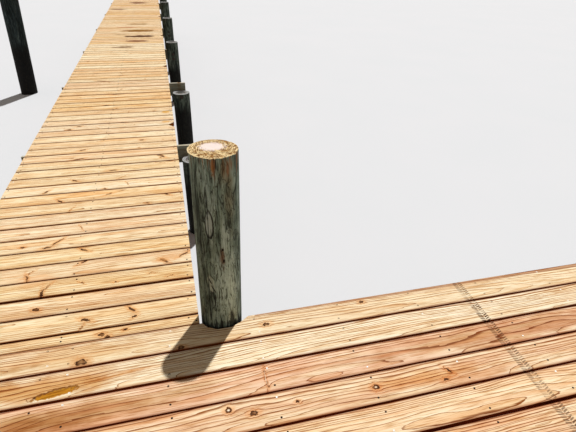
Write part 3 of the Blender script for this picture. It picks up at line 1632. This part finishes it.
@dataclass(frozen=True)
class Studio:
    """A pale floor, soft light and the camera at the photograph's place."""

    deck_h: float = 1.25
    focal_px: float = 452.9
    frame_px: float = 576.0
    yaw: float = 15.46
    pitch: float = 31.277
    roll: float = -1.808
    eye: tuple[float, float, float] = (0.5801, -1.6186, 1.5651)
    sun_from: tuple[float, float, float] = (0.199, 0.276, 0.863)
    sun: float = 3.3
    fill: float = 0.205

    def build(self, front_y: float) -> None:
        """Sets up the stage.

        Args:
            front_y: The head's front edge in the row frame.
        """
        bpy.context.scene.view_settings.view_transform = "Standard"
        self._camera(front_y)
        self._light()
        self._floor()

    def _camera(self, front_y: float) -> None:
        """Places the camera, from the fit to the deck's lines.

        Args:
            front_y: The head's front edge in the row frame.
        """
        data = bpy.data.cameras.new("camera")
        data.sensor_width = 36.0
        data.lens = self.focal_px / self.frame_px * data.sensor_width
        data.clip_start = 0.05
        data.clip_end = 300.0
        camera = bpy.data.objects.new("camera", data)
        bpy.context.scene.collection.objects.link(camera)
        yaw, pitch, roll = (math.radians(a) for a in (self.yaw, self.pitch, self.roll))
        ahead = Vector((math.sin(yaw) * math.cos(pitch), math.cos(yaw) * math.cos(pitch), -math.sin(pitch)))
        right = Vector((math.cos(yaw), -math.sin(yaw), 0))
        down = ahead.cross(right)
        right_rolled = right * math.cos(roll) + down * math.sin(roll)
        down_rolled = down * math.cos(roll) - right * math.sin(roll)
        turn = Matrix((right_rolled, -down_rolled, -ahead)).transposed().to_4x4()
        at = Vector(self.eye) + Vector((0, front_y, self.deck_h))
        camera.matrix_world = Matrix.Translation(at) @ turn
        bpy.context.scene.camera = camera

    def _light(self) -> None:
        """Adds one soft sun from the photograph's side and an even fill from all round."""
        sun = bpy.data.lights.new("sun", "SUN")
        sun.energy = self.sun
        sun.angle = math.radians(1.0)
        lamp = bpy.data.objects.new("sun", sun)
        lamp.rotation_mode = "QUATERNION"
        lamp.rotation_quaternion = Vector(self.sun_from).to_track_quat("Z", "Y")
        bpy.context.scene.collection.objects.link(lamp)
        world = bpy.data.worlds.new("studio")
        bpy.context.scene.world = world
        world.use_nodes = True
        tree = world.node_tree
        back = tree.nodes["Background"]
        back.inputs["Color"].default_value = linear("#fff3ea")
        rays = [add(tree, "LightPath", out=f"Is {kind} Ray") for kind in ("Camera", "Glossy", "Transmission")]
        seen = add(tree, "Math", {0: rays[0], 1: rays[1]}, operation="MAXIMUM")
        through = add(tree, "Math", {0: seen, 1: rays[2]}, operation="MAXIMUM")
        strength = add(tree, "MapRange", {"Value": through, "To Min": self.fill, "To Max": 0.9})
        tree.links.new(strength, back.inputs["Strength"])

    def _floor(self) -> None:
        """Lays a wide pale floor at the level of the pile feet."""
        deselect()
        bpy.ops.mesh.primitive_plane_add(size=400.0)
        floor = bpy.context.object
        floor.name = "floor"
        material, tree, shader = new_material("painted_studio_floor", 0.9)
        on_floor = add(tree, "TexCoord", out="Object")
        cloud = add(tree, "TexNoise", {"Vector": on_floor, "Scale": 0.6, "Detail": 3.0})
        colour = add(tree, "ValToRGB", {"Fac": cloud}, [(0.3, "#d7d9db"), (0.7, "#d9dadc")])
        tree.links.new(colour, shader.inputs["Base Color"])
        floor.data.materials.append(material)


def marks(front_y: float) -> tuple[Knot, ...]:
    """Returns the knots that show, measured from the walkway's middle line and the head's front edge.

    Args:
        front_y: The head's front edge in the row frame.

    Returns:
        The knots in the row frame.
    """
    # Across, along, half length and half width in millimetres, and turn in degrees
    seen = (
        (0.097, -0.118, 19, 13, -8),
        (0.516, -0.131, 13, 9, 0),
        (0.916, -0.076, 15, 9, 6),
        (1.421, -0.030, 11, 8, 5),
        (0.848, -0.380, 48, 4, 86),
        (1.282, -0.528, 12, 10, 0),
        (1.625, -0.519, 18, 6, -55),
        (1.590, -0.560, 14, 6, 10),
        (0.769, -0.530, 14, 9, 0),
        (0.949, -0.519, 9, 6, 0),
        (0.676, -0.494, 11, 10, 0),
        (0.166, 0.029, 14, 9, -20),
        (0.193, 0.010, 12, 8, 0),
        (-0.154, 0.270, 15, 9, -20),
        (-0.149, 0.386, 30, 7, -86),
        (-0.136, 0.430, 26, 5, 58),
        (-0.247, 0.530, 30, 6, -75),
        (-0.240, 0.580, 20, 4, 45),
        (0.295, 0.174, 26, 7, -49),
        (0.308, 0.118, 14, 6, 37),
        (0.086, 0.144, 22, 8, -26),
        (0.071, 0.092, 20, 4, 64),
        (0.458, 0.543, 24, 9, -45),
        (0.569, 0.581, 34, 6, 35),
        (-0.197, 0.812, 22, 8, 9),
        (-0.150, 0.860, 44, 6, 50),
        (0.035, 0.637, 34, 7, 40),
        (0.014, 0.745, 28, 7, -35),
        (0.388, 0.445, 12, 4, -8),
        (0.487, 0.397, 17, 4, 0),
        (0.204, 0.406, 9, 4, 0),
        (-0.329, 1.536, 24, 7, 51),
        (-0.211, 1.375, 24, 7, -45),
        (0.064, 1.514, 11, 6, -12),
        (0.100, 1.418, 22, 6, 18),
        (0.486, 1.345, 28, 8, -36),
        (0.366, 1.234, 14, 6, -20),
        (-0.157, 1.685, 22, 7, -33),
        (0.103, 1.815, 30, 7, 0),
        (0.249, 1.918, 26, 7, -40),
        (0.527, 1.912, 21, 7, -17),
        (0.466, 2.033, 37, 10, -50),
        (-0.177, 2.086, 42, 7, 14),
        (-0.169, 2.271, 25, 8, 15),
        (0.311, 2.413, 15, 9, -11),
        (-0.350, 2.795, 18, 9, 0),
        (-0.269, 2.867, 24, 8, 3),
        (0.121, 2.916, 20, 9, 0),
        (-0.073, 3.491, 22, 9, 0),
        (0.030, 3.892, 60, 9, 2),
        (-0.213, 4.511, 44, 9, -15),
        (0.007, 4.757, 32, 9, -8),
    )
    grown = 1.12 * MM
    return tuple(Knot(x, y + front_y, long * grown, wide * grown, turn) for x, y, long, wide, turn in seen)


def deck_stains(front_y: float, deck_h: float) -> tuple[tuple[Stain, ...], tuple[Stain, ...]]:
    """Returns the marks on the boards: drifts of tone, resin, pale knot faces, amber patches and damp.

    Args:
        front_y: The head's front edge in the row frame.
        deck_h: The deck's level.

    Returns:
        The stains of the head and those of the walkway, each from the lowest layer up.
    """
    drift = {"ragged": 0.6, "soft": 0.9, "blend": "MULTIPLY"}
    wide = drift | {"soft": 0.7, "grit": 9}
    resin = {"turn": (0.0, 0.0, 8.0), "ragged": 0.5, "grit": 90}
    face = {"ragged": 0.1, "soft": 0.3}
    damp = {"ragged": 0.5, "grit": 9, "soft": 0.6}
    # Across and along from the head's front edge, half length and half width in millimetres, colour,
    # strength and look
    head = (
        (0.05, -0.375, 850, 76, "#dcc8ac", 1.0, wide),
        (-0.05, -0.39, 300, 80, "#d8c0a4", 1.0, drift | {"grit": 9}),
        (2.05, -0.375, 1080, 76, "#e2d0be", 1.0, wide),
        (-0.08, -0.22, 560, 84, "#dcb88e", 1.0, wide),
        (0.1, -0.07, 380, 76, "#f2e2ce", 1.0, wide),
        (1.25, -0.385, 460, 50, "#dcc0b0", 0.2, drift | {"grit": 14}),
        (0.25, -0.222, 200, 16, "#deb890", 1.0, drift | {"turn": (0.0, 0.0, 6.0), "grit": 30}),
        (-0.16, -0.1, 150, 26, "#dcc4a8", 0.9, drift | {"grit": 20}),
        (1.5, -0.53, 500, 50, "#f0d0a8", 0.9, drift | {"grit": 10}),
        (0.014, -0.2575, 94, 21, "#7d4a10", 0.9, resin | {"soft": 0.15}),
        (0.018, -0.263, 92, 19, "#cb8f24", 0.9, resin | {"soft": 0.4}),
        (0.0, -0.27, 60, 5, "#8c5a0c", 0.7, resin | {"grit": 110, "soft": 0.6}),
        (0.03, -0.252, 56, 6, "#945c10", 0.8, resin | {"ragged": 0.6, "grit": 110, "soft": 0.7}),
        (1.282, -0.528, 6, 5, "#f4e2c4", 0.9, face),
        (0.676, -0.494, 5.5, 5, "#f4ead8", 0.95, face),
        (0.848, -0.375, 40, 2.5, "#f6dcc0", 0.8, {"turn": (0.0, 0.0, 86.0), "ragged": 0.1, "soft": 0.4}),
    )
    walkway = (
        (0.540, 3.165, 52, 38, "#e2ac48", 0.85, {"ragged": 0.3, "grit": 30}),
        (0.531, 2.865, 50, 32, "#e0a84a", 0.7, {"ragged": 0.4, "grit": 30}),
        (0.47, 0.56, 90, 40, "#e9a45c", 0.35, {"ragged": 0.5, "grit": 20, "turn": (0.0, 0.0, 15.0)}),
        (-0.2, 0.5, 130, 60, "#e9a86a", 0.3, {"ragged": 0.5, "grit": 14}),
        (0.074, 12.63, 330, 280, "#7a4a26", 0.85, damp | {"grit": 7}),
        (-0.375, 11.3, 250, 200, "#8a5a30", 0.75, damp | {"grit": 7}),
        (0.137, 8.96, 260, 120, "#a8803c", 0.8, damp),
        (-0.027, 8.57, 280, 90, "#b8784c", 0.7, damp),
        (0.155, 8.15, 380, 150, "#966c2c", 1.0, damp | {"soft": 0.5}),
        (0.203, 7.56, 350, 130, "#5a3a20", 1.0, damp | {"soft": 0.5}),
        (0.161, 7.10, 260, 130, "#8a5c38", 0.9, damp | {"ragged": 0.6, "grit": 12}),
        (-0.048, 6.60, 220, 80, "#7a5630", 0.95, damp | {"grit": 12, "soft": 0.5}),
        (-0.156, 7.76, 150, 50, "#8c7440", 0.7, damp | {"grit": 12}),
    )
    head_marks, walkway_marks = (
        tuple(
            Stain((x, y + front_y, deck_h), (long * MM, wide * MM, 50 * MM), colour, strength, **look)
            for x, y, long, wide, colour, strength, look in rows
        )
        for rows in (head, walkway)
    )
    return head_marks, walkway_marks


def corner_pile_stains(x: float, y: float, deck_h: float) -> tuple[tuple[Stain, ...], tuple[Stain, ...]]:
    """Returns the marks on the tall pile beside the walkway, placed on its side that faces the head.

    Args:
        x: The pile's middle at the deck's level.
        y: Its middle along Y.
        deck_h: The deck's level.

    Returns:
        The broad drifts of tone under its fibres, and the stains over them, each from the lowest layer up.
    """
    tall = {"ragged": 0.45, "grit": 60, "soft": 0.6}
    broad = {"ragged": 0.6, "grit": 18, "soft": 0.9}
    rusty = {"ragged": 0.5, "grit": 50, "soft": 0.7}
    crisp = {"ragged": 0.35, "grit": 45, "soft": 0.3}
    peeled = {"turn": (0.0, -10.0, 0.0), "ragged": 0.3, "soft": 0.3}
    bored = {"ragged": 0.2, "soft": 0.3}
    # X and Y from the pile's middle, Z from the deck, half sizes in millimetres, colour, strength, look
    drifts = (
        (0.055, -0.09, 0.66, (40, 40, 200), "#857a5e", 0.5, broad),
        (0.04, -0.09, 0.80, (50, 40, 80), "#846a48", 0.5, broad),
        (-0.07, -0.06, 0.56, (36, 60, 340), "#39423c", 0.6, broad),
        (-0.03, -0.09, 0.62, (16, 40, 190), "#95a3a0", 0.45, broad),
        (0.03, -0.09, 0.20, (100, 60, 330), "#c2d9d2", 0.9, broad),
        (0.05, -0.09, 0.20, (30, 60, 200), "#c4d6c8", 0.5, broad),
        (0.04, -0.09, 0.06, (40, 40, 60), "#b8b89e", 0.4, broad),
        (0.011, -0.10, 0.40, (17, 18, 84), "#6c4a30", 0.85, rusty),
        (-0.0065, -0.10, 0.825, (13, 16, 52), "#96622c", 0.85, rusty),
        (0.034, -0.097, 0.82, (10, 16, 46), "#7c6040", 0.6, rusty),
        (0.052, -0.088, 0.815, (8, 16, 48), "#84522c", 0.7, rusty),
        (0.068, -0.078, 0.825, (6, 16, 38), "#7c5632", 0.6, rusty),
    )
    stains = (
        (-0.036, -0.092, 0.566, (21.5, 24, 74), "#171a14", 1.0, {"ragged": 0.18, "grit": 40, "soft": 0.12}),
        (-0.036, -0.092, 0.570, (16, 24, 67), "#a8b6b0", 0.8, {"ragged": 0.18, "grit": 40, "soft": 0.3}),
        (-0.04, -0.092, 0.60, (5, 14, 18), "#3c4139", 0.8, tall),
        (-0.03, -0.092, 0.535, (3, 14, 22), "#59625b", 0.7, tall),
        (-0.046, -0.088, 0.262, (18, 20, 56), "#c0cbbb", 0.45, peeled),
        (-0.052, -0.088, 0.285, (4, 14, 34), "#12110c", 0.95, crisp | {"turn": (0.0, -20.0, 0.0)}),
        (-0.038, -0.094, 0.235, (4, 14, 34), "#12110c", 0.95, crisp | {"turn": (0.0, -24.0, 0.0)}),
        (-0.031, -0.095, 0.165, (3.5, 14, 46), "#1a1912", 0.9, crisp | {"turn": (0.0, 4.0, 0.0)}),
        (-0.018, -0.098, 0.300, (3, 14, 40), "#1a1912", 0.8, crisp | {"turn": (0.0, 8.0, 0.0)}),
        (-0.062, -0.08, 0.44, (3.5, 14, 70), "#14140f", 0.85, crisp),
        (-0.045, -0.09, 0.70, (3.5, 14, 60), "#14140f", 0.8, crisp | {"turn": (0.0, 6.0, 0.0)}),
        (0.014, -0.10, 0.442, (6, 14, 9), "#0c0805", 1.0, bored),
        (0.017, -0.10, 0.383, (6, 14, 12), "#0c0805", 1.0, bored),
        (0.013, -0.10, 0.345, (3, 12, 18), "#2a1a10", 0.8, tall),
        (0.006, -0.10, 0.835, (4, 14, 34), "#1d120a", 0.85, tall),
        (-0.02, -0.10, 0.80, (3, 14, 40), "#1d150e", 0.7, tall),
        (-0.056, -0.085, 0.066, (8, 18, 42), "#14120d", 0.9, tall),
        (-0.008, -0.10, 0.030, (7, 14, 15), "#100f0b", 0.9, tall),
        (0.072, -0.075, 0.035, (6, 18, 40), "#17150f", 0.8, tall),
        (-0.088, -0.05, 0.08, (8, 20, 48), "#33281a", 0.7, tall),
        (0.03, -0.095, 0.02, (22, 14, 16), "#1f1b13", 0.7, tall),
    )
    low, high = (
        tuple(
            Stain((x + dx, y + dy, deck_h + up), tuple(size * MM for size in half), colour, strength, **look)
            for dx, dy, up, half, colour, strength, look in rows
        )
        for rows in (drifts, stains)
    )
    return low, high


@dataclass
class Jetty:
    """The whole jetty: its finishes and its sub-assemblies in building order."""

    bays: int = 6
    deck_h: float = 1.25
    lean: float = 0.7
    mooring_lean: float = 2.4
    stock: Stock = field(default_factory=Stock)

    def __post_init__(self) -> None:
        """Reads the driving places from the frame."""
        self.front_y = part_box("head_deck")[1].y
        self.cap_span = (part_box("bent_1_cap")[0].z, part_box("bent_1_cap")[1].z)

    def build(self) -> None:
        """Builds every sub-assembly in order."""
        stains = deck_stains(self.front_y, self.deck_h)
        head_deck = DeckPine(
            "planed_head_pine",
            early="#fff6d8",
            middle="#f7dcae",
            late="#985e28",
            side="#a05a22",
            fibre="#c8a678",
            ring=10 * MM,
            line=4.2 * MM,
            wander=60 * MM,
            stains=stains[0],
            track_end=self.front_y,
        ).make()
        walk_deck = SawnPine(
            "planed_walkway_pine",
            early="#fff8da",
            middle="#fde2b2",
            late="#ac7a42",
            side="#9a5c10",
            fibre="#c4a070",
            ring=9 * MM,
            line=3.2 * MM,
            stains=stains[1],
        ).make()
        sawn_wood = SawnPine("rough_treated_pine", "#c0b59c", "#a89a7e", "#7c6c52", ring=6 * MM).make()
        cap_wood = SawnPine(
            "weathered_treated_pine",
            early="#dce0d8",
            middle="#c0c4b8",
            late="#7e8278",
            side="#b4b8b2",
            fibre="#9c9c90",
            ring=5 * MM,
            roughness=0.85,
        ).make()
        coated = Steel("coated_screw_steel", "#33221a", "#1e130c", 0.0, 0.7, 0.1).make()
        zinc = Steel("galvanised_steel", "#f0efea", "#c2c1bc", 0.2, 0.4).make()
        rusted = Steel("rusted_bolt_steel", "#483d34", "#28211c", 0.0, 0.8, 0.2).make()
        self._decks(head_deck, walk_deck, [coated, zinc])
        self._framing(sawn_wood, cap_wood)
        self._piles()
        self._bolts(rusted)

    def _decks(self, head_deck: Material, walk_deck: Material, steels: list[Material]) -> None:
        """Lays the head and the bays of the walkway, and drives their screws.

        Args:
            head_deck: The finish of the head's boards.
            walk_deck: The finish of the walkway's boards.
            steels: The screws' finishes.
        """
        back = middle_of("head_back_inner_pile_right")
        front = middle_of("head_front_outer_pile_right")
        head = HeadDeck(
            "head_deck",
            self.stock.board_w + self.stock.head_gap,
            knots=marks(self.front_y),
            shrink=(-5.0 * MM, -2.0 * MM),
            stray_knots=1.0,
            slope=(0.012, 0.03),
            seen=(-0.6, 2.4),
            moved=(10, -3.5 * MM),
            seed=31,
            pile_x=back[0],
            pile_y=(back[1], front[1]),
        )
        spans = head.board_spans()
        draw = random.Random(12)
        tones = [draw.choice((Tone.PALE, Tone.PLAIN, Tone.HONEY)) for _ in spans]
        tones[:6] = [Tone.PALE, Tone.PALE, Tone.PINK, Tone.PEACH, Tone.PEACH, Tone.PEACH]
        head.tones = tuple(reversed(tones))
        head.build(head_deck)
        joists, lines = (
            tuple((lo.x + hi.x) / 2 for lo, hi in loose_boxes(NODES[name].data))
            for name in ("head_joists", "bay_1_stringers")
        )
        around = head.pile_r + 30 * MM
        avoid = tuple((side * head.pile_x, y, around) for side in (-1, 1) for y in head.pile_y)
        DeckScrews("head_deck_screws", joists, spans, self.deck_h, avoid, 0.4).build(steels)
        pitch = self.stock.board_w + self.stock.walk_gap
        for bay in range(1, self.bays + 1):
            lo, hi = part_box(f"bay_{bay}_deck")
            notches = [hi.y + self.stock.walk_gap / 2]
            if bay == self.bays:
                notches = [hi.y - self.stock.board_w - self.stock.walk_gap / 2]
            if bay > 1:
                notches.append(lo.y - self.stock.walk_gap / 2)
            walk = WalkwayDeck(
                f"bay_{bay}_deck",
                pitch,
                knots=marks(self.front_y),
                first_w=self.stock.strip_w if bay == 1 else 0.0,
                stray_knots=0.8 if bay == 1 else 1.6,
                uneven=0.1 + 0.09 * bay,
                seed=40 + bay,
                notch_ys=tuple(notches),
            )
            walk.build(walk_deck)
            avoid = tuple((hi.x, y, 90 * MM) for y in notches)
            name = f"bay_{bay}_deck_screws"
            DeckScrews(name, lines, walk.board_spans(), self.deck_h, avoid, seed=60 + bay).build(steels)

    def _framing(self, sawn_wood: Material, cap_wood: Material) -> None:
        """Makes joists, headers, stringers and caps.

        Args:
            sawn_wood: The finish of joists, headers and stringers.
            cap_wood: The finish of caps.
        """
        Framing("head_joists", 1, "framing_pine", seed=71).build(sawn_wood)
        Framing("head_headers", 0, "framing_pine", seed=72).build(sawn_wood)
        for row in ("front", "back"):
            Framing(f"head_{row}_cap", 0, "cap_timber", seed=73).build(cap_wood)
        for bay in range(1, self.bays + 1):
            Framing(f"bay_{bay}_stringers", 1, "framing_pine", seed=80 + bay).build(sawn_wood)
            Framing(f"bent_{bay}_cap", 0, "cap_timber", seed=90 + bay).build(cap_wood)

    def _piles(self) -> None:
        """Makes the piles of the head, the bents and the mooring pile, each group with its own finish."""
        tall_r = 101 * MM
        corner = "head_front_inner_pile_right"
        corner_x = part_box("head_back_inner_pile_right")[0].x + tall_r
        corner_y = middle_of("head_front_outer_pile_right")[1]
        drifts, stains = corner_pile_stains(corner_x, corner_y, self.deck_h)
        dark = ("#a2aa9e", "#6a746a", "#2b332f", "#0c0e0d", "#3f352a")
        darkest = ("#5c6663", "#354041", "#1b2426", "#0b1012", "#2e261e")
        skins = {
            "corner": PileSkin("peeled_corner_pile", foot=self.deck_h, drifts=drifts, stains=stains).make(),
            "head": PileSkin("peeled_treated_pile", foot=self.deck_h).make(),
            "bent": PileSkin("dark_low_pile", 0.7, *dark).make(),
            "mooring": PileSkin("dark_mooring_pile", 0.95, *darkest).make(),
        }
        fresh = SawnTop("chainsawn_pile_top", tall_r).make()
        grey = SawnTop(
            "weathered_pile_top",
            115 * MM,
            ring=22 * MM,
            bleached="#282928",
            pale="#aeb1b1",
            gold="#515250",
            late="#262726",
            rim=(0.62, 0.8),
        ).make()
        names = sorted(name for name in NODES if "_pile_" in name or name == "mooring_pile")
        for seed, name in enumerate(names, 101):
            lo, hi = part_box(name)
            group = "corner" if name == corner else name.split("_")[0]
            lean = {"corner": self.lean, "mooring": self.mooring_lean}.get(group, 0.0)
            radius = (hi.y - lo.y) / 2 if lean else (hi.x - lo.x) / 2
            centre = Vector((*middle_of(name)[:2], 0))
            if group == "bent":
                centre.y = lo.y + radius
            if lean:
                foot_r = radius - hi.z * Pile.taper / 2
                centre.x = lo.x + foot_r + self.deck_h * math.tan(math.radians(lean))
            seat, side = self._seat(name, group)
            pile = Pile(
                name,
                centre,
                radius,
                hi.z,
                seed=seed,
                deck_h=self.deck_h,
                cap_span=self.cap_span,
                checks=self._checks(group, hi.z, random.Random(seed)),
                seat_y=seat,
                seat_side=side,
                lean=math.radians(lean),
            )
            if group == "corner":
                pile.columns = 192
                pile.row = 14 * MM
                pile.lip = 6 * MM
            pile.build(skins[group], fresh if group in ("corner", "head") else grey)

    def _seat(self, name: str, group: str) -> tuple[float | None, int]:
        """Finds the face of the cap that is let into a pile.

        Args:
            name: The pile's node.
            group: The group that the pile belongs to.

        Returns:
            Where the face is along Y, or None if there is no cap, and 1 or -1 for a cap on the +Y or -Y side.
        """
        if group == "mooring":
            return None, 1
        if group == "bent":
            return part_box("_".join(name.split("_")[:2]) + "_cap")[0].y, 1
        row = "front" if "front" in name else "back"
        lo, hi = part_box(f"head_{row}_cap")
        return (hi.y, -1) if row == "front" else (lo.y, 1)

    def _checks(self, group: str, top: float, draw: random.Random) -> tuple[Check, ...]:
        """Args:
            group: The group that the pile belongs to.
            top: The height of its top.
            draw: Its random numbers.

        Returns:
            The checks.
        """
        seen = (
            Check(-126, self.deck_h + 0.10, self.deck_h + 0.33, 6 * MM, 6 * MM, 0.03, 0.0),
            Check(-108, self.deck_h + 0.08, self.deck_h + 0.28, 6 * MM, 5 * MM, 0.03, -9.0),
            Check(-97, top - 0.14, top + 1, 6 * MM, 5 * MM, 0.02),
            Check(-118, self.deck_h + 0.45, self.deck_h + 0.75, 5 * MM, 4 * MM, 0.05),
            Check(-63, self.deck_h + 0.38, self.deck_h + 0.6, 4 * MM, 4 * MM, 0.04),
            Check(-140, self.deck_h + 0.3, self.deck_h + 0.8, 5 * MM, 4 * MM, 0.05),
        )
        loose = tuple(
            Check(
                angle=draw.uniform(0, 180) if group == "corner" else draw.uniform(0, 360),
                low=draw.uniform(-0.2, top * 0.7),
                high=draw.choice((top + 1, draw.uniform(top * 0.5, top))),
                deep=draw.uniform(4, 8) * MM,
                wide=draw.uniform(3, 7) * MM,
                sway=draw.uniform(0.05, 0.2),
            )
            for _ in range(6)
        )
        return seen + loose if group == "corner" else loose

    def _bolts(self, steel: Material) -> None:
        """Bolts every cap to its piles, with two bolts where the pile rises past the cap.

        Args:
            steel: The bolts' finish.
        """
        bolts = ThroughBolts()
        made = []
        low, high = self.cap_span
        margin = 50 * MM
        into_timber = 6 * MM
        for name in sorted(name for name in NODES if "_pile_" in name):
            lo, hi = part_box(name)
            row = "front" if "front" in name else "back"
            bent = "_".join(name.split("_")[:2])
            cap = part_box(bent + "_cap" if name.startswith("bent") else f"head_{row}_cap")
            outward = -1 if name.startswith("head_front") else 1
            face, back = (cap[1].y, lo.y) if outward > 0 else (cap[0].y, hi.y)
            whole = hi.z > high
            for level in (low + margin, high - margin) if whole else ((low + hi.z) / 2,):
                at = Vector(((lo.x + hi.x) / 2, face, level))
                made.append(bolts.one(at, abs(face - back) - into_timber, outward))
        finish_piece(joined(made, "cap_bolts"), [steel], "cap_timber")


def main() -> None:
    """Builds the jetty's looks around the frame, then the stage."""
    logging.basicConfig(level=logging.INFO, format="%(name)s: %(message)s")
    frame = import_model()
    NODES.update(frame["nodes"])
    Jetty().build()
    Studio().build(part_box("head_deck")[1].y)


if __name__ == "__main__":
    main()
